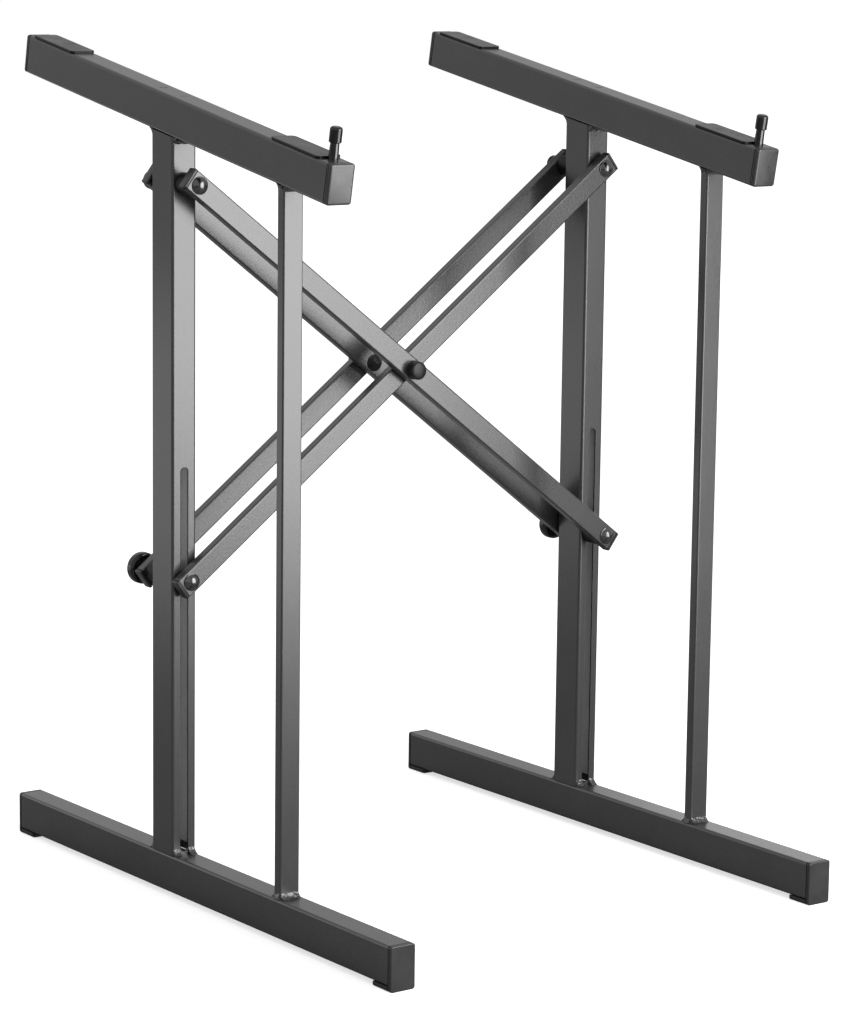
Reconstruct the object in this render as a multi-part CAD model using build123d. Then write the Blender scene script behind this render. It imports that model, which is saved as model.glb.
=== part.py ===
from build123d import *
import os
from math import acos, cos, degrees, radians, sin, sqrt, tan

# Mixer stand: two upright side frames joined by a double scissor of four arms.
# X runs from the left frame to the right one, Y away from the user, Z up.
# The origin is on the floor, in the middle of the stand's footprint.
# Sizes are in millimetres and angles in degrees.

# Main tube, used for each base, post and support bar
main_width = 25.0
main_depth = 35.0
main_wall = 1.5
main_corner = 2.5

# Front tube, the slim upright nearer the user
front_width = 20.0
front_depth = 10.0
front_wall = 1.2
front_corner = 1.6

# Base bar and its foot caps
base_length = 620.0
foot_height = 4.7
foot_length = 26.0
foot_flange = 4.0
foot_plug = 20.0

# Places of the uprights along the base, from its middle
post_y = 47.5
front_y = -136.5

# Support bar on top: it leans down towards the user
support_height = 690.3
support_tilt = 10.3
support_near_reach = 259.5
support_far_reach = 247.0
bar_cap_flange = 6.0
bar_cap_plug = 16.0
cap_rib = 1.5

# Rubber pads on the support bar
pad_length = 72.0
pad_width = 25.0
pad_thickness = 2.0
pad_corner = 4.0
pad_edge = 0.5
near_pad_inset = 20.6
far_pad_inset = 11.5

# Stop peg beside the near pad: a screwed-in steel peg with a rubber sleeve
peg_inset = 15.6
peg_shank_top = 7.8
peg_shank_foot = 8.8
peg_head = 10.9
peg_head_height = 13.6
peg_height = 28.0
peg_dome = 2.6
peg_stud = 6.0
peg_nut_across = 10.0
peg_nut_height = 5.0

# Scissor arms and their end caps
arm_width = 20.0
arm_depth = 10.0
arm_wall = 1.2
arm_corner = 1.6
arm_span = 585.0
arm_overhang = 9.0
arm_cap_flange = 3.5
arm_cap_clearance = 0.5
cap_edge = 1.0
cap_grip = 0.1

# Scissor setting: distance between the post axes as the stand is set up, how far the
# pivots lie below the support bar's middle, how far the slots run on above the clamp
# bolts, and how far above the base bar they end
spread = 466.0
pivot_drop = 43.8
slot_rise = 102.15
slot_bottom_gap = 2.8

# Bolts, nuts and spacers of the scissor
bolt_diameter = 8.0
bolt_head = 16.0
bolt_head_rim = 0.8
bolt_head_dome = 4.0
bolt_neck = 8.0
bolt_neck_length = 2.5
bolt_fit = 0.05
slot_play = 0.3
spacer_diameter = 20.0
washer_thickness = 2.4
running_gap = 0.15
nut_across = 13.0
nut_height = 6.5
bolt_tail = 1.5
nut_cap_wall = 0.7
nut_cap_rim = 17.6
nut_cap_rim_thickness = 1.2
nut_cap_height = 10.0
nut_cap_play = 0.15
nut_cap_dome = 24.0

# Clamp knobs on the sliding bolts
knob_diameter = 29.0
knob_grip = 10.5
knob_hub = 17.0
knob_hub_length = 4.5
knob_edge = 3.0
knob_dish = 20.0
knob_dish_depth = 1.0
knob_washer = 16.0
knob_washer_thickness = 1.3
insert_diameter = 12.0
insert_length = 11.5

# Weld beads in the corners between the tubes
post_weld = 6.0
front_weld = 5.0
side_weld = 2.2
weld_hollow = 0.72
weld_margin = 0.5

# Places worked out from the sizes above
base_top = foot_height + main_depth
slot_width = bolt_diameter + 2 * slot_play
bolt_radius = bolt_diameter / 2
hole_radius = bolt_radius + bolt_fit
half_span = arm_span / 2
arm_rise = sqrt(arm_span**2 - spread**2)
arm_slope = degrees(acos(spread / arm_span))
pivot_height = support_height - pivot_drop
slide_height = pivot_height - arm_rise
slot_top = slide_height + slot_rise
slot_bottom = base_top + slot_bottom_gap
cross_height = pivot_height - arm_rise / 2
left_x = -spread / 2
right_x = spread / 2

# Layers across the posts, as distances from the post axis to the user and away
post_face = main_depth / 2
inner_layer = post_face + running_gap + washer_thickness
inner_outside = inner_layer + arm_depth
outer_layer = inner_outside + running_gap + washer_thickness
outer_outside = outer_layer + arm_depth
spacer_length = outer_layer - post_face - running_gap

support_plane = Plane(
    origin=(0, post_y, support_height),
    x_dir=(1, 0, 0),
    z_dir=(0, -sin(radians(support_tilt)), cos(radians(support_tilt))),
)


# Helpers


def tube(length, width, depth, wall, corner):
    """Rectangular tube with round corners, standing on the ground plane."""
    inner_corner = max(corner - wall, corner / 4)
    outside = RectangleRounded(width, depth, corner)
    inside = RectangleRounded(width - 2 * wall, depth - 2 * wall, inner_corner)
    return extrude(outside - inside, length)


def away(shape, x=0, y=0, z=0):
    """Turn a shape built upwards so that it runs away from the user."""
    return Pos(x, y, z) * Rot(-90, 0, 0) * shape


def towards(shape, x=0, y=0, z=0):
    """Turn a shape built upwards so that it runs towards the user."""
    return Pos(x, y, z) * Rot(90, 0, 0) * shape


def on_support(shape):
    """Carry a shape from the level bar's own axes to the tilted bar."""
    return Pos(0, post_y, support_height) * Rot(support_tilt, 0, 0) * shape


def ring(outer, inner, height):
    """Plain washer or sleeve standing on the ground plane."""
    return extrude(Circle(outer) - Circle(inner), height)


def lathe(*points):
    """Solid of revolution about the upright axis, from its half outline."""
    return revolve(Plane.XZ * make_face(Polyline(*points, close=True)), Axis.Z)


def dome_radius(diameter, height):
    """Radius of the sphere whose cap has this diameter and height."""
    return (diameter**2 / 4 + height**2) / (2 * height)


def underside(y):
    """Height of the support bar's underside at a place along the stand."""
    return support_height + (y - post_y) * tan(radians(support_tilt))


# Side frame, built about its own middle plane


def base_tube():
    """Level bar on the floor."""
    length = base_length - 2 * foot_flange
    bar = tube(length, main_width, main_depth, main_wall, main_corner)
    return away(bar, 0, -length / 2, foot_height + main_depth / 2)


def post():
    """Main upright, cut to the support bar, with the slot and the pivot hole."""
    height = underside(post_y + post_face) - base_top
    body = tube(height, main_width, main_depth, main_wall, main_corner)
    body = split(Pos(0, post_y, base_top) * body, support_plane, keep=Keep.BOTTOM)
    pivot = away(Cylinder(hole_radius, 2 * main_depth), 0, post_y, pivot_height)
    outline = SlotOverall(slot_top - slot_bottom, slot_width, rotation=90)
    slot = extrude(Plane.XZ * outline, main_depth, both=True)
    middle = (slot_top + slot_bottom) / 2
    return body - pivot - Pos(0, post_y, middle) * slot


def front_tube():
    """Slim upright between the base and the support bar."""
    height = underside(front_y + front_depth / 2) - base_top
    body = tube(height, front_width, front_depth, front_wall, front_corner)
    return split(Pos(0, front_y, base_top) * body, support_plane, keep=Keep.BOTTOM)


def support_tube():
    """Leaning bar that carries the mixer, with the hole for the stop peg."""
    near = bar_cap_flange - support_near_reach
    length = support_far_reach - bar_cap_flange - near
    bar = tube(length, main_width, main_depth, main_wall, main_corner)
    bar = away(bar, 0, near, main_depth / 2)
    hole = Pos(0, peg_inset - support_near_reach, main_depth)
    return on_support(bar - hole * Cylinder(peg_stud / 2 + bolt_fit, main_depth))


def foot_cap():
    """Plastic cap on the near end of the base, with the foot as its ledge."""
    height = main_depth + foot_height
    outline = Pos(0, foot_height / 2) * RectangleRounded(main_width, height, main_corner)
    body = Pos(0, 0, -foot_flange) * extrude(outline, foot_length)
    body = fillet(body.faces().sort_by(Axis.Z)[0].edges(), cap_edge)
    seat = Pos(0, 0, foot_length / 2)
    body -= seat * Box(2 * main_width, main_depth, foot_length)
    return away(body + plug_ring(), 0, foot_flange - base_length / 2, base_top - main_depth / 2)


def plug_ring():
    """Hollow plug that grips the bore of the main tube."""
    width = main_width - 2 * main_wall - 2 * cap_grip
    depth = main_depth - 2 * main_wall - 2 * cap_grip
    return tube(foot_plug, width, depth, cap_rib, main_corner / 2)


def foot_caps():
    """Both caps of one base."""
    near = foot_cap()
    return [near, mirror(near, Plane.XZ)]


def bar_cap():
    """Plastic cap for the support bar: a rounded plate with two gripping ribs."""
    outline = RectangleRounded(main_width, main_depth, main_corner)
    plate = Pos(0, 0, -bar_cap_flange) * extrude(outline, bar_cap_flange)
    plate = fillet(plate.faces().sort_by(Axis.Z)[0].edges(), 2 * cap_edge)
    height = main_depth - 2 * main_wall - 2 * main_corner
    rib = Box(cap_rib, height, bar_cap_plug, align=(Align.MAX, Align.CENTER, Align.MIN))
    reach = main_width / 2 - main_wall - cap_grip
    right = Pos(reach, 0, 0) * rib
    return plate + right + mirror(right, Plane.YZ)


def bar_caps():
    """Both caps of one support bar."""
    near = away(bar_cap(), 0, bar_cap_flange - support_near_reach, main_depth / 2)
    far = towards(bar_cap(), 0, support_far_reach - bar_cap_flange, main_depth / 2)
    return [on_support(near), on_support(far)]


def pad():
    """Rubber pad with round corners and a soft upper edge."""
    body = extrude(RectangleRounded(pad_width, pad_length, pad_corner), pad_thickness)
    return fillet(body.faces().sort_by(Axis.Z)[-1].edges(), pad_edge)


def pads():
    """Near and far pad of one support bar."""
    near = near_pad_inset + pad_length / 2 - support_near_reach
    far = support_far_reach - far_pad_inset - pad_length / 2
    return [on_support(Pos(0, y, main_depth) * pad()) for y in (near, far)]


def at_peg(shape):
    """Stand a shape on the support bar where the stop peg goes."""
    return on_support(Pos(0, peg_inset - support_near_reach, main_depth) * shape)


def stop_peg():
    """Turned steel peg: a tapering shank and a stud through the bar's wall."""
    stud_end = -main_wall - peg_nut_height - 1.0
    neck = peg_height - peg_dome
    points = [
        (0, stud_end),
        (peg_stud / 2, stud_end),
        (peg_stud / 2, 0),
        (peg_shank_foot / 2, 0),
        (peg_shank_top / 2, peg_height - peg_head_height),
        (peg_shank_top / 2, neck),
        (0, neck),
    ]
    return at_peg(lathe(*points))


def peg_sleeve():
    """Rubber sleeve over the peg's upper half, with a round top."""
    foot = peg_height - peg_head_height
    body = Pos(0, 0, foot) * extrude(Circle(peg_head / 2), peg_head_height)
    body = fillet(body.edges().sort_by(Axis.Z)[-1], peg_dome)
    body = fillet(body.edges().sort_by(Axis.Z)[0], cap_edge)
    bore = Pos(0, 0, foot) * extrude(Circle(peg_shank_top / 2), peg_head_height - peg_dome)
    return at_peg(body - bore)


def peg_nut():
    """Nut inside the bar that holds the stop peg."""
    outline = RegularPolygon(peg_nut_across / 2, 6, major_radius=False)
    body = extrude(outline - Circle(peg_stud / 2 + bolt_fit), -peg_nut_height)
    return at_peg(Pos(0, 0, -main_wall) * body)


def weld_bead(length, out_leg, out_angle, up_leg, up_angle):
    """Hollow-faced bead along X in the corner between two faces.

    Each face is given by its angle from +Y towards +Z and by the bead's leg on it.
    """
    out = Vector(cos(radians(out_angle)), sin(radians(out_angle))) * out_leg
    up = Vector(cos(radians(up_angle)), sin(radians(up_angle))) * up_leg
    middle = (out + up) * (weld_hollow / 2)
    outline = [Line((0, 0), out), ThreePointArc(out, middle, up), Line(up, (0, 0))]
    return extrude(Plane.YZ * make_face(outline), length / 2, both=True)


def cross_welds(y, width, depth, leg, gap=0):
    """Beads across an upright's near and far faces, at its foot and its head.

    With a gap the foot bead is in two halves, one on each side of the slot.
    """
    beads = []
    for side, level in ((-1, 180), (1, 0)):
        face = y + side * depth / 2
        head = weld_bead(width, leg, level + support_tilt, leg, 270)
        beads.append(Pos(0, face, underside(face)) * head)
        if not gap:
            foot = weld_bead(width, leg, level, leg, 90)
            beads.append(Pos(0, face, base_top) * foot)
            continue
        half = (width - gap) / 2
        foot = weld_bead(half, leg, level, leg, 90)
        for x in (-(gap + half) / 2, (gap + half) / 2):
            beads.append(Pos(x, face, base_top) * foot)
    return beads


def side_welds():
    """Beads along both sides of the front tube, at its foot and its head."""
    beads = []
    length = front_depth - 2 * front_corner
    for side in (-1, 1):
        place = Pos(side * front_width / 2, front_y, base_top)
        turn = Rot(0, 0, -side * 90)
        beads.append(place * turn * weld_bead(length, side_weld, 0, front_weld, 90))
        place = Pos(side * front_width / 2, front_y, underside(front_y))
        turn = Rot(support_tilt, 0, 0) * turn
        beads.append(place * turn * weld_bead(length, side_weld, 0, front_weld, 270))
    return beads


def welds():
    """All beads of one side frame."""
    slot_gap = slot_width + 2 * weld_margin
    post_width = main_width - main_corner
    post_beads = cross_welds(post_y, post_width, main_depth, post_weld, slot_gap)
    front_beads = cross_welds(front_y, front_width - front_corner, front_depth, front_weld)
    return post_beads + front_beads + side_welds()


# Scissor arms: arms A fall from the left post to the right one, arms B rise


def arm(neck_side):
    """Arm lying along X with its three bolt holes.

    A square hole for a clamp bolt's neck goes into the near wall at the end named by
    neck_side, which is -1, 1 or 0 for none.
    """
    length = arm_span + 2 * arm_overhang
    body = tube(length, arm_width, arm_depth, arm_wall, arm_corner)
    body = Rot(0, 90, 0) * Pos(0, 0, -length / 2) * body
    for x in (-half_span, 0, half_span):
        body -= away(Cylinder(hole_radius, 2 * arm_depth), x)
    if neck_side:
        side = bolt_neck + 2 * bolt_fit
        neck = Box(side, 2 * arm_wall, side)
        body -= Pos(neck_side * half_span, -arm_depth / 2, 0) * neck
    return body


def arm_cap():
    """Plastic cap pushed into an arm's end, built with its plug upwards."""
    outline = RectangleRounded(arm_width, arm_depth, arm_corner)
    plate = Pos(0, 0, -arm_cap_flange) * extrude(outline, arm_cap_flange)
    plate = fillet(plate.faces().sort_by(Axis.Z)[0].edges(), cap_edge)
    width = arm_width - 2 * arm_wall - 2 * cap_grip
    depth = arm_depth - 2 * arm_wall - 2 * cap_grip
    plug = arm_overhang - bolt_radius - arm_cap_clearance
    return plate + tube(plug, width, depth, arm_wall, arm_corner / 2)


def arm_caps():
    """Both caps of an arm lying along X."""
    end = half_span + arm_overhang
    left = Pos(-end, 0, 0) * Rot(0, 90, 0) * arm_cap()
    return [left, mirror(left, Plane.YZ)]


def set_arm(shape, slope, layer):
    """Turn an arm's shape to its slope and move it to its layer."""
    return Pos(0, post_y + layer, cross_height) * Rot(0, slope, 0) * shape


# Bolts, nuts, spacers and knobs, built upwards from the face they seat on


def domed_bolt(length):
    """Bolt with a low domed head below the seat and its shank upwards."""
    height = bolt_head_rim + bolt_head_dome
    radius = dome_radius(bolt_head, bolt_head_dome)
    head = Pos(0, 0, -height) * extrude(Circle(bolt_head / 2), height)
    head &= Pos(0, 0, radius - height) * Sphere(radius)
    return head + extrude(Circle(bolt_radius), length)


def necked_bolt(length, slope):
    """Domed bolt with a square neck turned to its arm's slope."""
    neck = extrude(Rectangle(bolt_neck, bolt_neck), bolt_neck_length)
    return domed_bolt(length) + Rot(0, 0, slope) * neck


def nut():
    """Hexagon lock nut."""
    outline = RegularPolygon(nut_across / 2, 6, major_radius=False)
    return extrude(outline - Circle(hole_radius), nut_height)


def nut_cap():
    """Black plastic cap over a nut: a round rim, a round body and a domed end."""
    pocket = RegularPolygon(nut_across / 2 + nut_cap_play, 6, major_radius=False)
    corner = (nut_across / 2 + nut_cap_play) / cos(radians(30))
    body = extrude(Circle(corner + nut_cap_wall), nut_cap_height)
    body &= Pos(0, 0, nut_cap_height - nut_cap_dome) * Sphere(nut_cap_dome)
    body += extrude(Circle(nut_cap_rim / 2), nut_cap_rim_thickness)
    return body - extrude(pocket, nut_height + bolt_tail + nut_cap_play)


def spacer():
    """Sleeve between a post and an arm of the outer layer."""
    return ring(spacer_diameter / 2, hole_radius, spacer_length)


def washer():
    """Flat plastic washer of the inner layer and of the crossing."""
    return ring(spacer_diameter / 2, hole_radius, washer_thickness)


def knob():
    """Round clamp knob: hub below, grip with a rounded rim and a dished end."""
    body = extrude(Circle(knob_hub / 2), knob_hub_length)
    grip = Pos(0, 0, knob_hub_length) * extrude(Circle(knob_diameter / 2), knob_grip)
    grip = fillet(grip.edges().filter_by(GeomType.CIRCLE), knob_edge)
    top = knob_hub_length + knob_grip
    dish_radius = dome_radius(knob_dish, knob_dish_depth)
    dish = Pos(0, 0, top + dish_radius - knob_dish_depth) * Sphere(dish_radius)
    pocket = extrude(Circle(insert_diameter / 2), insert_length)
    return body + grip - dish - pocket


def knob_insert():
    """Threaded metal insert moulded into the knob."""
    return ring(insert_diameter / 2, hole_radius, insert_length)


# Assembly


def export_node(name, shapes):
    """Write one named sub-part as its own STEP file."""
    pieces = shapes if isinstance(shapes, list) else [shapes]
    solids = [solid for piece in pieces for solid in piece.solids()]
    part = solids[0] if len(solids) == 1 else Compound(children=solids)
    export_step(part, f"parts/{name}.step")


def place_frame(side, x):
    """Write every piece of one side frame."""
    pieces = {
        "base_tube": base_tube(),
        "post": post(),
        "front_tube": front_tube(),
        "support_tube": support_tube(),
        "welds": welds(),
        "foot_caps": foot_caps(),
        "bar_caps": bar_caps(),
        "pads": pads(),
        "stop_peg": stop_peg(),
        "peg_sleeve": peg_sleeve(),
        "peg_nut": peg_nut(),
    }
    for name, shapes in pieces.items():
        group = shapes if isinstance(shapes, list) else [shapes]
        export_node(f"{side}_{name}", [Pos(x, 0, 0) * shape for shape in group])


def place_arms():
    """Write the four arms with their end caps."""
    inner = inner_layer + arm_depth / 2
    outer = outer_layer + arm_depth / 2
    for name, slope, layer, neck_side in (
        ("near_arm_a", arm_slope, -outer, 1),
        ("far_arm_a", arm_slope, inner, 0),
        ("near_arm_b", -arm_slope, -inner, -1),
        ("far_arm_b", -arm_slope, outer, 0),
    ):
        export_node(name, set_arm(arm(neck_side), slope, layer))
        caps = [set_arm(cap, slope, layer) for cap in arm_caps()]
        export_node(f"{name}_caps", caps)


def place_seats(side, joint, x, z, near_piece, far_piece):
    """Write the spacer and the washer between a post and its two arms."""
    gap = post_face + running_gap
    for name, shape, turn, y in (
        (*near_piece, towards, post_y - gap),
        (*far_piece, away, post_y + gap),
    ):
        export_node(f"{side}_{joint}_{name}", turn(shape, x, y, z))


def place_pivot(side, x, near_face, far_face):
    """Write the bolt, nut and nut cap of one post's top pivot."""
    length = near_face + far_face + nut_height + bolt_tail
    far = post_y + far_face
    bolt = away(domed_bolt(length), x, post_y - near_face, pivot_height)
    export_node(f"{side}_pivot_bolt", bolt)
    export_node(f"{side}_pivot_nut", away(nut(), x, far, pivot_height))
    export_node(f"{side}_pivot_nut_cap", away(nut_cap(), x, far, pivot_height))


def place_clamp(side, x, near_face, far_face, slope):
    """Write the bolt, washer, knob and insert of one post's sliding clamp."""
    disc = ring(knob_washer / 2, hole_radius, knob_washer_thickness)
    hub = far_face + knob_washer_thickness + running_gap
    length = near_face + hub + insert_length - bolt_tail
    bolt = away(necked_bolt(length, slope), x, post_y - near_face, slide_height)
    export_node(f"{side}_clamp_bolt", bolt)
    export_node(f"{side}_knob_washer", away(disc, x, post_y + far_face, slide_height))
    export_node(f"{side}_knob", away(knob(), x, post_y + hub, slide_height))
    export_node(f"{side}_knob_insert", away(knob_insert(), x, post_y + hub, slide_height))


def place_crossing(side, turn, direction, head_at, tail_at, washer_at):
    """Write the bolt, nut, nut cap and washer where two arms cross.

    The places are distances from the post axis, on the side given by direction.
    """
    length = tail_at - head_at + nut_height + bolt_tail
    for name, shape, place in (
        ("bolt", domed_bolt(length), head_at),
        ("nut", nut(), tail_at),
        ("nut_cap", nut_cap(), tail_at),
        ("washer", washer(), washer_at),
    ):
        shape = turn(shape, 0, post_y + direction * place, cross_height)
        export_node(f"{side}_cross_{name}", shape)


def build():
    """Write the whole stand."""
    os.makedirs("parts", exist_ok=True)
    place_frame("left", left_x)
    place_frame("right", right_x)
    place_arms()
    sleeve = ("spacer", spacer())
    disc = ("washer", washer())
    place_seats("left", "pivot", left_x, pivot_height, sleeve, disc)
    place_seats("right", "pivot", right_x, pivot_height, disc, sleeve)
    place_seats("left", "clamp", left_x, slide_height, disc, sleeve)
    place_seats("right", "clamp", right_x, slide_height, sleeve, disc)
    place_pivot("left", left_x, outer_outside, inner_outside)
    place_pivot("right", right_x, inner_outside, outer_outside)
    place_clamp("left", left_x, inner_outside, outer_outside, -arm_slope)
    place_clamp("right", right_x, outer_outside, inner_outside, arm_slope)

    # A crossing's bolt, nut and washer seat on the arm A of their side
    behind_inner = inner_layer - running_gap
    behind_outer = outer_layer - washer_thickness
    place_crossing("near", towards, -1, behind_inner, outer_outside, behind_outer)
    beyond_outer = outer_outside + running_gap
    place_crossing("far", away, 1, inner_layer, beyond_outer, inner_outside)


build()
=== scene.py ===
import math

import bpy
from mathutils import Matrix, Vector


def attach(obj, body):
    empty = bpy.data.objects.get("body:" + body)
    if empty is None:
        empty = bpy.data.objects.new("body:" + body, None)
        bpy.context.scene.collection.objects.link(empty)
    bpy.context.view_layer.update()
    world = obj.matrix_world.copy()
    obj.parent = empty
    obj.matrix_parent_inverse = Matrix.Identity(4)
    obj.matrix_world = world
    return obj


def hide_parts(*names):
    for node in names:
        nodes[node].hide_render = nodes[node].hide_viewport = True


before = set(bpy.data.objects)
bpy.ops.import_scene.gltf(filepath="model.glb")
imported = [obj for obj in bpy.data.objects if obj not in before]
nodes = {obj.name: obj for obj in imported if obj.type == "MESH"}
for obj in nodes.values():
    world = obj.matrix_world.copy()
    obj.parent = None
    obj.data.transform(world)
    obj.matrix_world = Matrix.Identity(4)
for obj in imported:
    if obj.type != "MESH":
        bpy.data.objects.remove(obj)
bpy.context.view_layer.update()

# Camera: where it looks, from which side and how far away, in metres and degrees
target = Vector((0.0454, 0.0475, 0.3270))
azimuth = -36.27
elevation = 9.58
roll = 0.71
distance = 3.2248
lens = 144.8
sensor = 36.0

# Studio: even surroundings and a round pale floor, whose bounce is darker than its look
room_light = 0.66
room_tone = 1.0
floor_radius = 14.0
floor_sides = 96
floor_lift = 0.62
floor_bounce = 0.34

# Soft panels: a tall one at the front right gives the main light. Two weak ones, low
# behind the left and far behind, give the left sides and the tops their sheen.
panels = {
    "front_panel": {"bearing": 36.2, "away": 1.5, "aside": -0.50, "height": 0.82,
                    "size": (1.20, 1.56), "power": 34.0},
    "side_panel": {"bearing": -143.8, "away": 1.5, "aside": 0.05, "height": 0.21,
                   "size": (1.4, 0.42), "power": 1.3},
    "top_panel": {"bearing": 143.8, "away": 6.0, "aside": -2.0, "height": 1.0,
                  "size": (2.8, 1.6), "power": 15.0},
}

# Stand, in metres as in the construction
main_width = 0.025
main_depth = 0.035
main_corner = 0.0025
arm_width = 0.020
arm_depth = 0.010
arm_corner = 0.0016
spread = 0.466
half_spread = spread / 2
post_y = 0.0475
support_height = 0.6903
support_tilt = math.radians(10.3)
near_reach = 0.2595
far_reach = 0.247
bar_cap_flange = 0.006
arm_span = 0.585
arm_overhang = 0.009
pivot_height = 0.6465
arm_slope = math.acos(spread / arm_span)
arm_rise = arm_span * math.sin(arm_slope)
slide_height = pivot_height - arm_rise
cross_height = pivot_height - arm_rise / 2

# Distances of the arms' faces from the post axis
running_gap = 0.00015
washer_thickness = 0.0024
inner_layer = main_depth / 2 + running_gap + washer_thickness
inner_outside = inner_layer + arm_depth
outer_layer = inner_outside + running_gap + washer_thickness
outer_outside = outer_layer + arm_depth

# Bolts and what they go through
bolt_radius = 0.0040
bolt_neck = 0.008
nut_height = 0.0065
bolt_tail = 0.0015
knob_washer_thickness = 0.0013
insert_length = 0.0115

# Places that the materials find by their coordinates
post_bore = (0.0113, 0.0158)
post_bore_middle = 0.365
post_bore_reach = 0.318
slot_reach = 0.00438
slot_wall = 0.0166
slot_wall_reach = 0.00078
seam_place = 0.30585
seam_reach = 0.0005
rim_place = 0.3078
rim_reach = 0.00018
seam_top = 0.045

# Colours and relief
paint = (0.022, 0.022, 0.023)
# Pale tint inside the posts: painted light, so that the insides seen through the slots look lit
painted_light_in_posts = (0.5, 0.5, 0.49)
# Black for the dark seams at the foot caps, and painted shade on the slots' cut faces
black_for_seams_and_shade = (0.002, 0.002, 0.002)
paint_gloss = 1.8
crease_angle = math.radians(32)


def material(name):
    """A new material and its shader node."""
    made = bpy.data.materials.new(name)
    made.use_nodes = True
    return made, made.node_tree.nodes["Principled BSDF"]


def add_node(made, kind, **settings):
    """A node of a material, with the settings given by name."""
    node = made.node_tree.nodes.new(kind)
    for key, value in settings.items():
        setattr(node, key, value)
    return node


def link(made, source, target_socket):
    """Joins an output of a node to an input."""
    made.node_tree.links.new(source, target_socket)


def place(made):
    """Coordinates in metres that stay with the piece."""
    return add_node(made, "ShaderNodeTexCoord").outputs["Object"]


def noise(made, vector, scale, detail=2.0, rough=0.5):
    """Soft random grain, scale in spots per metre."""
    node = add_node(made, "ShaderNodeTexNoise")
    node.inputs["Scale"].default_value = scale
    node.inputs["Detail"].default_value = detail
    node.inputs["Roughness"].default_value = rough
    link(made, vector, node.inputs["Vector"])
    return node.outputs["Fac"]


def span(made, value, low, high, start=0.3, end=0.7):
    """Maps a value between start and end onto the numbers from low to high."""
    node = add_node(made, "ShaderNodeMapRange")
    node.inputs["From Min"].default_value = start
    node.inputs["From Max"].default_value = end
    node.inputs["To Min"].default_value = low
    node.inputs["To Max"].default_value = high
    link(made, value, node.inputs["Value"])
    return node.outputs["Result"]


def blend_colours(made, value, first, second):
    """Goes from the first colour to the second with a value. Either may be an output."""
    node = add_node(made, "ShaderNodeMix", data_type="RGBA")
    for socket, colour in ((node.inputs[6], first), (node.inputs[7], second)):
        if isinstance(colour, tuple):
            socket.default_value = (*colour, 1.0)
        else:
            link(made, colour, socket)
    link(made, value, node.inputs["Factor"])
    return node.outputs[2]


def bump(made, height, strength, depth, below=None):
    """Small relief. depth is in metres."""
    node = add_node(made, "ShaderNodeBump")
    node.inputs["Strength"].default_value = strength
    node.inputs["Distance"].default_value = depth
    link(made, height, node.inputs["Height"])
    if below is not None:
        link(made, below, node.inputs["Normal"])
    return node.outputs["Normal"]


def powder_coat(name, shade, rough):
    """Satin powder coat: fine orange peel, a slight mottle and sparse worn specks."""
    made, shader = material(name)
    vector = place(made)
    mottle = noise(made, vector, 22.0, 3.0)
    grain = noise(made, vector, 2600.0, 2.0)
    dark = tuple(c * 0.86 for c in shade)
    light = tuple(c * 1.16 for c in shade)
    speck = noise(made, vector, 520.0, 3.0, 0.7)
    coat = blend_colours(made, span(made, mottle, 0.0, 1.0), dark, light)
    worn = tuple(c * 2.4 for c in shade)
    link(made, blend_colours(made, span(made, speck, 0.0, 1.0, 0.66, 0.72), coat, worn),
         shader.inputs["Base Color"])
    link(made, span(made, grain, rough - 0.03, rough + 0.04), shader.inputs["Roughness"])
    peel = bump(made, noise(made, vector, 420.0, 2.0), 0.25, 0.0002)
    link(made, bump(made, grain, 0.15, 0.00005, peel), shader.inputs["Normal"])
    shader.inputs["IOR"].default_value = paint_gloss
    return made


def moulded(name, shade, rough, grain_size=1800.0, relief=0.00004, gloss=1.5):
    """Moulded plastic with a fine grain."""
    made, shader = material(name)
    shader.inputs["IOR"].default_value = gloss
    vector = place(made)
    mottle = noise(made, vector, 60.0, 3.0)
    grain = noise(made, vector, grain_size, 3.0)
    dark = tuple(c * 0.85 for c in shade)
    light = tuple(c * 1.2 for c in shade)
    link(made, blend_colours(made, span(made, mottle, 0.0, 1.0), dark, light),
         shader.inputs["Base Color"])
    link(made, span(made, mottle, rough - 0.04, rough + 0.06), shader.inputs["Roughness"])
    link(made, bump(made, grain, 0.3, relief), shader.inputs["Normal"])
    return made


def steel(name, shade, rough):
    """Bare steel with faint stains and a fine grain."""
    made, shader = material(name)
    vector = place(made)
    stain = noise(made, vector, 140.0, 3.0)
    dark = tuple(c * 0.8 for c in shade)
    link(made, blend_colours(made, span(made, stain, 0.0, 1.0), dark, shade),
         shader.inputs["Base Color"])
    link(made, span(made, stain, rough - 0.05, rough + 0.08), shader.inputs["Roughness"])
    link(made, bump(made, noise(made, vector, 2200.0, 2.0), 0.2, 0.00003),
         shader.inputs["Normal"])
    shader.inputs["Metallic"].default_value = 1.0
    return made


def within(made, value, middle, reach):
    """1 where a value is within reach of a middle, else 0."""
    test = add_node(made, "ShaderNodeMath", operation="COMPARE")
    link(made, value, test.inputs[0])
    test.inputs[1].default_value = middle
    test.inputs[2].default_value = reach
    return test.outputs[0]


def sized(made, value):
    """A value without its sign."""
    node = add_node(made, "ShaderNodeMath", operation="ABSOLUTE")
    link(made, value, node.inputs[0])
    return node.outputs[0]


def both(made, first, second):
    """1 where two masks are 1."""
    node = add_node(made, "ShaderNodeMath", operation="MULTIPLY")
    link(made, first, node.inputs[0])
    link(made, second, node.inputs[1])
    return node.outputs[0]


def either(made, first, second):
    """1 where one of two masks is 1."""
    node = add_node(made, "ShaderNodeMath", operation="MAXIMUM")
    link(made, first, node.inputs[0])
    link(made, second, node.inputs[1])
    return node.outputs[0]


def axes(made):
    """The three coordinates of a point of a piece, in metres."""
    node = add_node(made, "ShaderNodeSeparateXYZ")
    link(made, place(made), node.inputs["Vector"])
    return node.outputs


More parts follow.
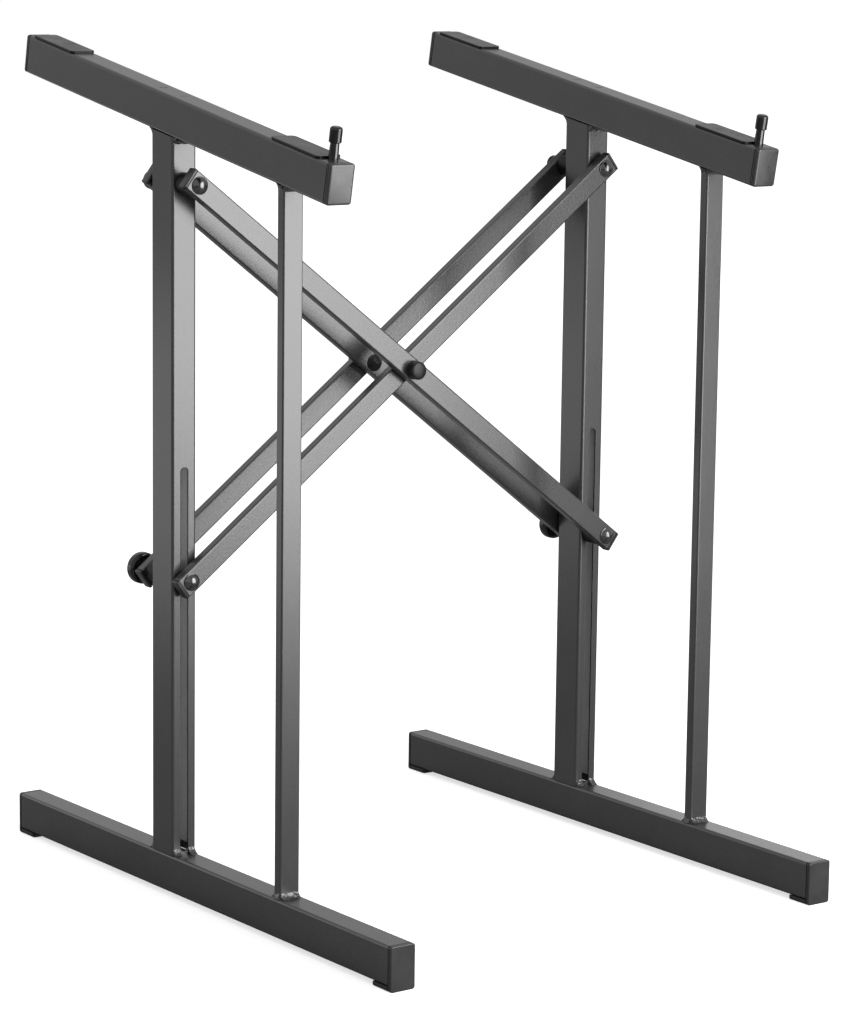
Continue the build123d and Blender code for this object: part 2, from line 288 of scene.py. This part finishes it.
def tint(made, mask, colour):
    """Colours the masked places."""
    shader = made.node_tree.nodes["Principled BSDF"]
    below = shader.inputs["Base Color"].links[0].from_socket
    link(made, blend_colours(made, mask, below, colour), shader.inputs["Base Color"])


def blacken_seams_and_shade(made, mask):
    """Dull black in the masked places: dark seams, and painted shade where the mask stands for
    shadow.
    """
    shader = made.node_tree.nodes["Principled BSDF"]
    tint(made, mask, black_for_seams_and_shade)
    link(made, span(made, mask, 0.5, 0.02, 0.0, 1.0), shader.inputs["Specular IOR Level"])


def base_seams(made, point):
    """The lines where the foot caps meet the base tubes, and a second one at the cap's edge."""
    along = sized(made, point["Y"])
    low = within(made, point["Z"], 0.0, seam_top)
    lines = either(made, within(made, along, seam_place, seam_reach),
                   within(made, along, rim_place, rim_reach))
    return both(made, lines, low)


def frame_coat(name, shade, rough):
    """Powder coat with painted light inside the posts (a pale tint), painted shade on the
    slots' cut faces and the dark seams of the foot caps.
    """
    made = powder_coat(name, shade, rough)
    point = axes(made)
    across = sized(made, point["X"])
    inside = both(made, within(made, across, half_spread, post_bore[0]),
                  within(made, point["Y"], post_y, post_bore[1]))
    inside = both(made, inside, within(made, point["Z"], post_bore_middle, post_bore_reach))
    # Painted light: the inside walls of the posts are tinted pale
    tint(made, inside, painted_light_in_posts)
    depth = add_node(made, "ShaderNodeMath", operation="SUBTRACT")
    link(made, point["Y"], depth.inputs[0])
    depth.inputs[1].default_value = post_y
    # Painted shade: the cut faces of the slots' walls go black, as if in shadow
    shaded_cheek = both(made, within(made, across, half_spread, slot_reach),
                 within(made, sized(made, depth.outputs[0]), slot_wall, slot_wall_reach))
    blacken_seams_and_shade(made, either(made, shaded_cheek, base_seams(made, point)))
    return made


def foot_plastic(name, shade, rough):
    """Plastic of the foot caps, with the dirt of their seams."""
    made = moulded(name, shade, rough, gloss=1.6)
    blacken_seams_and_shade(made, base_seams(made, axes(made)))
    return made


def weld_bead_paint(name, shade, rough):
    """Paint over a weld bead, with the ripples of the bead showing through."""
    made = powder_coat(name, shade, rough)
    shader = made.node_tree.nodes["Principled BSDF"]
    vector = place(made)
    lumps = noise(made, vector, 330.0, 1.0, 0.4)
    fine = shader.inputs["Normal"].links[0].from_socket
    link(made, bump(made, lumps, 0.9, 0.0016, fine), shader.inputs["Normal"])
    return made


def finishes():
    """One material for each slot of the record."""
    return {
        "frame_paint": frame_coat("frame_paint", paint, 0.28),
        "arm_paint": powder_coat("arm_paint", paint, 0.27),
        "weld_paint": weld_bead_paint("weld_paint", paint, 0.22),
        "foot_plastic": foot_plastic("foot_plastic", (0.02, 0.02, 0.02), 0.36),
        "cap_plastic": moulded("cap_plastic", (0.03, 0.03, 0.031), 0.27, 900.0, 0.0001, 1.6),
        "arm_cap_plastic": moulded("arm_cap_plastic", (0.02, 0.02, 0.021), 0.33, gloss=1.6),
        "pad_rubber": moulded("pad_rubber", (0.005, 0.005, 0.005), 0.3, gloss=1.36),
        "sleeve_rubber": moulded("sleeve_rubber", (0.004, 0.004, 0.004), 0.13, gloss=1.55),
        "bright_steel": steel("bright_steel", (0.09, 0.09, 0.09), 0.16),
        "bolt_steel": steel("bolt_steel", (0.14, 0.14, 0.14), 0.17),
        "plain_steel": steel("plain_steel", (0.5, 0.5, 0.49), 0.35),
        "nut_cap_plastic": moulded("nut_cap_plastic", (0.006, 0.006, 0.006), 0.36, 600.0,
                                   0.0005, 1.4),
        "spacer_plastic": moulded("spacer_plastic", (0.004, 0.004, 0.004), 0.45, gloss=1.36),
        "knob_plastic": moulded("knob_plastic", (0.006, 0.006, 0.006), 0.22),
        "insert_brass": steel("insert_brass", (0.6, 0.45, 0.2), 0.3),
        # Black of the seam grooves on the caps: painted shade in the grooves where caps meet
        # tubes
        "seam": moulded("seam", (0.004, 0.004, 0.004), 0.6),
    }


def dress(made_finishes):
    """Gives each CAD node the material of its slot."""
    for node in nodes.values():
        for slot in node.material_slots:
            slot.material = made_finishes[slot.material.name.split(".")[0]]


def add_piece(name, slot, body, replaced, verts, faces, dark=()):
    """A piece from its corners and faces, in place of the nodes it replaces.

    The faces counted in dark get the black of a seam: painted shade in its groove.
    """
    mesh = bpy.data.meshes.new(name)
    mesh.from_pydata(verts, [], faces)
    mesh.materials.append(looks[slot])
    mesh.materials.append(looks["seam"])
    for index, polygon in enumerate(mesh.polygons):
        polygon.use_smooth = True
        polygon.material_index = 1 if index in dark else 0
    mesh.set_sharp_from_angle(angle=crease_angle)
    mesh.update()
    made = bpy.data.objects.new(name, mesh)
    bpy.context.scene.collection.objects.link(made)
    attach(made, body)
    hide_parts(*replaced)


def joined(*parts):
    """Several closed shells as one list of corners, faces and dark faces."""
    verts = []
    faces = []
    dark = set()
    for part_verts, part_faces, part_dark in parts:
        dark.update(len(faces) + index for index in part_dark)
        faces += [[len(verts) + i for i in face] for face in part_faces]
        verts += part_verts
    return verts, faces, dark


def moved(part, matrix):
    """The same shells, laid elsewhere."""
    verts, faces, dark = part
    return [tuple(matrix @ Vector(v)) for v in verts], faces, dark


def turned(points, steps=48):
    """Closed round shell from (radius, height) points, the first and last on the axis.

    The points start at the top and go down the outside.
    """
    verts = [(0.0, 0.0, points[0][1])]
    for radius, height in points[1:-1]:
        for i in range(steps):
            angle = 2 * math.pi * i / steps
            verts.append((radius * math.cos(angle), radius * math.sin(angle), height))
    verts.append((0.0, 0.0, points[-1][1]))
    last = len(verts) - 1
    rings = len(points) - 2
    faces = []
    for i in range(steps):
        j = (i + 1) % steps
        faces.append([0, 1 + i, 1 + j])
        for ring in range(rings - 1):
            a = 1 + ring * steps
            b = a + steps
            faces.append([a + i, b + i, b + j, a + j])
        a = 1 + (rings - 1) * steps
        faces.append([a + j, a + i, last])
    return verts, faces, set()


def outline(width, depth, corner, inset, steps=5):
    """Corners of a round-cornered rectangle, made smaller all round by inset."""
    radius = max(corner - inset, 0.0002)
    half_width = width / 2 - inset - radius
    half_depth = depth / 2 - inset - radius
    points = []
    for quarter, (x, y) in enumerate(((1, 1), (-1, 1), (-1, -1), (1, -1))):
        for step in range(steps + 1):
            angle = math.pi / 2 * (quarter + step / steps)
            points.append((x * half_width + radius * math.cos(angle),
                           y * half_depth + radius * math.sin(angle)))
    return points


def plate(width, depth, corner, rungs, seams=()):
    """Closed shell through round-cornered rectangles at (height, inset).

    seams counts the bands between two rectangles that are painted black, as shade in a groove.
    """
    rings = [[(x, y, height) for x, y in outline(width, depth, corner, inset)]
             for height, inset in rungs]
    count = len(rings[0])
    verts = [v for ring in rings for v in ring]
    faces = [list(reversed(range(count)))]
    dark = set()
    for band in range(len(rings) - 1):
        a = band * count
        for i in range(count):
            j = (i + 1) % count
            if band in seams:
                dark.add(len(faces))
            faces.append([a + i, a + j, a + count + j, a + count + i])
    faces.append([(len(rings) - 1) * count + i for i in range(count)])
    return verts, faces, dark


# Ways to lay a piece built upwards along the stand's axes
to_far = Matrix.Rotation(math.radians(-90), 4, "X")
to_near = Matrix.Rotation(math.radians(90), 4, "X")


def dome(radius, rise, foot, steps=9):
    """Points of a dome from its rim down to its tip below the seat."""
    ball = (radius * radius + rise * rise) / (2 * rise)
    widest = math.asin(radius / ball)
    points = []
    for step in range(steps):
        angle = widest * (1 - step / steps)
        points.append((ball * math.sin(angle), -foot - (ball * math.cos(angle) - ball + rise)))
    return points + [(0.0, -foot - rise)]


def bolt(length, slope=None):
    """Domed bolt: head below the seat with a fine step at its rim, shank with a chamfer."""
    top = [(0.0, length), (0.0034, length), (bolt_radius, length - 0.0006), (bolt_radius, 0.0),
           (0.0078, 0.0), (0.0080, -0.0002), (0.0080, -0.0007), (0.0077, -0.0009)]
    head = turned(top + dome(0.0074, 0.0038, 0.0010))
    if slope is None:
        return head
    rungs = ((0.0001, 0.0002), (0.0004, 0.0), (0.0022, 0.0), (0.0025, 0.0003))
    neck = plate(bolt_neck, bolt_neck, 0.0003, rungs)
    return joined(head, moved(neck, Matrix.Rotation(slope, 4, "Z")))


def nut_cap():
    """Cap over a nut: flared rim, drum with two fine steps, domed end, pocket inside."""
    points = [(0.0, 0.0099), (0.0030, 0.0098), (0.0060, 0.0094), (0.0076, 0.0089),
              (0.0082, 0.0083), (0.0083, 0.0076), (0.0081, 0.0073), (0.0081, 0.0069),
              (0.0083, 0.0066), (0.0083, 0.0014), (0.0086, 0.0012), (0.0088, 0.0009),
              (0.0088, 0.0002), (0.0087, 0.0), (0.0077, 0.0), (0.0077, 0.0081),
              (0.0, 0.0082)]
    return turned(points)


def add_bolt(name, slot, body, length, seat, slope=None):
    """One bolt in place of its node, with a square neck where a slope is given."""
    add_piece("fine_" + name, slot, body, [name], *moved(bolt(length, slope), seat))


def add_nut_cap(name, body, end):
    """One nut cap in place of its node."""
    add_piece("fine_" + name, "nut_cap_plastic", body, [name], *moved(nut_cap(), end))


def add_pivots():
    """The bolt and the nut cap of both top pivots."""
    for name, x, near_face, far_face, body in (
        ("left_pivot", -half_spread, outer_outside, inner_outside, "arms_a"),
        ("right_pivot", half_spread, inner_outside, outer_outside, "arms_b"),
    ):
        length = near_face + far_face + nut_height + bolt_tail
        seat = Matrix.Translation((x, post_y - near_face, pivot_height)) @ to_far
        add_bolt(name + "_bolt", "bolt_steel", body, length, seat)
        end = Matrix.Translation((x, post_y + far_face, pivot_height)) @ to_far
        add_nut_cap(name + "_nut_cap", body, end)


def add_clamp_bolts():
    """The bolts that slide in the posts' slots."""
    for name, x, near_face, far_face, slope, body in (
        ("left_clamp", -half_spread, inner_outside, outer_outside, -arm_slope, "arms_b"),
        ("right_clamp", half_spread, outer_outside, inner_outside, arm_slope, "arms_a"),
    ):
        hub = far_face + knob_washer_thickness + running_gap
        length = near_face + hub + insert_length - bolt_tail
        seat = Matrix.Translation((x, post_y - near_face, slide_height)) @ to_far
        add_bolt(name + "_bolt", "bolt_steel", body, length, seat, slope)


def add_crossings():
    """The bolt and the nut cap where the arms cross, near and far. The far head is black."""
    for name, slot, turn, side, head_at, tail_at in (
        ("near_cross", "bolt_steel", to_near, -1, inner_layer - running_gap, outer_outside),
        ("far_cross", "nut_cap_plastic", to_far, 1, inner_layer, outer_outside + running_gap),
    ):
        length = tail_at - head_at + nut_height + bolt_tail
        seat = Matrix.Translation((0.0, post_y + side * head_at, cross_height)) @ turn
        add_bolt(name + "_bolt", slot, "arms_a", length, seat)
        end = Matrix.Translation((0.0, post_y + side * tail_at, cross_height)) @ turn
        add_nut_cap(name + "_nut_cap", "arms_a", end)


def add_bar_caps():
    """End caps of the support bars, with two seam grooves painted black as shade, and two
    gripping ribs each.
    """
    rungs = ((0.0, 0.0012), (0.0009, 0.0012), (0.0010, 0.0), (0.0022, 0.0), (0.0023, 0.0007),
             (0.0030, 0.0007), (0.0031, 0.0), (0.0046, 0.0), (0.0054, 0.0004),
             (0.0059, 0.0012), (0.0060, 0.0021))
    cap = plate(main_width, main_depth, main_corner, rungs, (0, 4))
    rib = plate(0.0015, 0.026, 0.0003, ((-0.016, 0.0003), (-0.0157, 0.0), (0.0005, 0.0)))
    ribs = [moved(rib, Matrix.Translation((side * 0.01015, 0.0, 0.0))) for side in (-1, 1)]
    middle = main_depth / 2
    for side, x in (("left", -half_spread), ("right", half_spread)):
        lean = Matrix.Translation((x, post_y, support_height)) @ Matrix.Rotation(
            support_tilt, 4, "X")
        near = lean @ Matrix.Translation((0.0, bar_cap_flange - near_reach, middle)) @ to_near
        far = lean @ Matrix.Translation((0.0, far_reach - bar_cap_flange, middle)) @ to_far
        shells = [moved(shell, at) for at in (near, far) for shell in [cap] + ribs]
        add_piece("fine_" + side + "_bar_caps", "cap_plastic", side + "_frame",
                  [side + "_bar_caps"], *joined(*shells))


def add_arm_caps():
    """End caps of the arms, each with a seam groove at the tube painted black as shade, and a
    solid plug.
    """
    rungs = ((0.0, 0.0011), (0.0009, 0.0011), (0.0010, 0.0), (0.0026, 0.0), (0.0031, 0.0003),
             (0.0034, 0.0007), (0.0035, 0.0013))
    cap = plate(arm_width, arm_depth, arm_corner, rungs, (0,))
    plug = plate(0.0174, 0.0074, 0.0008, ((-0.0045, 0.0004), (-0.0041, 0.0), (0.0003, 0.0)))
    end = arm_span / 2 + arm_overhang
    inner = inner_layer + arm_depth / 2
    outer = outer_layer + arm_depth / 2
    for name, slope, layer in (
        ("near_arm_a", arm_slope, -outer),
        ("far_arm_a", arm_slope, inner),
        ("near_arm_b", -arm_slope, -inner),
        ("far_arm_b", -arm_slope, outer),
    ):
        lay = Matrix.Translation((0.0, post_y + layer, cross_height)) @ Matrix.Rotation(
            slope, 4, "Y")
        shells = []
        for side in (-1, 1):
            at = lay @ Matrix.Translation((side * end, 0.0, 0.0)) @ Matrix.Rotation(
                side * math.pi / 2, 4, "Y")
            shells += [moved(cap, at), moved(plug, at)]
        add_piece("fine_" + name + "_caps", "arm_cap_plastic", "arms_" + name[-1],
                  [name + "_caps"], *joined(*shells))


def floor():
    """A round pale floor."""
    mesh = bpy.data.meshes.new("floor")
    angles = [2 * math.pi * i / floor_sides for i in range(floor_sides)]
    ring = [(floor_radius * math.cos(a), floor_radius * math.sin(a), 0.0) for a in angles]
    mesh.from_pydata(ring, [], [list(range(floor_sides))])
    made = bpy.data.objects.new("floor", mesh)
    bpy.context.scene.collection.objects.link(made)
    pale, shader = material("pale_floor")
    tone = span(pale, noise(pale, place(pale), 1.5), 0.0, 1.0)
    link(pale, blend_colours(pale, tone, (0.90, 0.90, 0.90), (0.92, 0.92, 0.92)),
         shader.inputs["Base Color"])
    shader.inputs["Roughness"].default_value = 0.9
    shader.inputs["Specular IOR Level"].default_value = 0.1
    shader.inputs["Emission Color"].default_value = (1.0, 1.0, 1.0, 1.0)
    shader.inputs["Emission Strength"].default_value = floor_lift
    seen_by_room(pale, shader, floor_bounce)
    mesh.materials.append(pale)


def seen_by_room(made, shader, shade):
    """Keeps the bounce of a pale floor low, so that the stand's lower parts stay dark."""
    bounce = add_node(made, "ShaderNodeBsdfDiffuse")
    bounce.inputs["Color"].default_value = (shade, shade, shade, 1.0)
    path = add_node(made, "ShaderNodeLightPath")
    choice = add_node(made, "ShaderNodeMixShader")
    link(made, path.outputs["Is Camera Ray"], choice.inputs["Fac"])
    link(made, bounce.outputs["BSDF"], choice.inputs[1])
    link(made, shader.outputs["BSDF"], choice.inputs[2])
    link(made, choice.outputs["Shader"],
         made.node_tree.nodes["Material Output"].inputs["Surface"])


def room():
    """Even pale light from all round."""
    world = bpy.data.worlds.new("room")
    world.use_nodes = True
    light = world.node_tree.nodes["Background"]
    light.inputs["Color"].default_value = (1.0, 1.0, 1.0, 1.0)
    path = add_node(world, "ShaderNodeLightPath")
    strength = span(world, path.outputs["Is Camera Ray"], room_light, room_tone, 0.0, 1.0)
    link(world, strength, light.inputs["Strength"])
    bpy.context.scene.world = world


def soft_panel(name, bearing, away, aside, height, size, power):
    """An upright soft panel that faces the stand. bearing is measured as the camera's."""
    turn = math.radians(bearing)
    outward = Vector((math.sin(turn), -math.cos(turn), 0.0))
    sideways = Vector((math.cos(turn), math.sin(turn), 0.0))
    data = bpy.data.lights.new(name, "AREA")
    data.shape = "RECTANGLE"
    data.size = size[0]
    data.size_y = size[1]
    data.energy = power
    made = bpy.data.objects.new(name, data)
    made.location = outward * away + sideways * aside + Vector((0.0, 0.0, height))
    made.rotation_mode = "QUATERNION"
    made.rotation_quaternion = (-outward).to_track_quat("-Z", "Y")
    made.visible_camera = False
    bpy.context.scene.collection.objects.link(made)


def camera():
    """The photograph's view."""
    turn = math.radians(azimuth)
    rise = math.radians(elevation)
    lean = math.radians(roll)
    back = Vector((math.sin(turn) * math.cos(rise), -math.cos(turn) * math.cos(rise),
                   math.sin(rise)))
    right = (-back).cross(Vector((0.0, 0.0, 1.0))).normalized()
    up = right.cross(-back)
    x_axis = math.cos(lean) * right + math.sin(lean) * up
    y_axis = math.cos(lean) * up - math.sin(lean) * right
    data = bpy.data.cameras.new("camera")
    data.sensor_fit = "HORIZONTAL"
    data.sensor_width = sensor
    data.lens = lens
    made = bpy.data.objects.new("camera", data)
    made.matrix_world = Matrix.Translation(target + back * distance) @ Matrix(
        (x_axis, y_axis, back)).transposed().to_4x4()
    bpy.context.scene.collection.objects.link(made)
    bpy.context.scene.camera = made


bpy.context.scene.view_settings.view_transform = "Standard"
camera()
room()
floor()
for panel, values in panels.items():
    soft_panel(panel, **values)
looks = finishes()
dress(looks)
add_pivots()
add_clamp_bolts()
add_crossings()
add_bar_caps()
add_arm_caps()
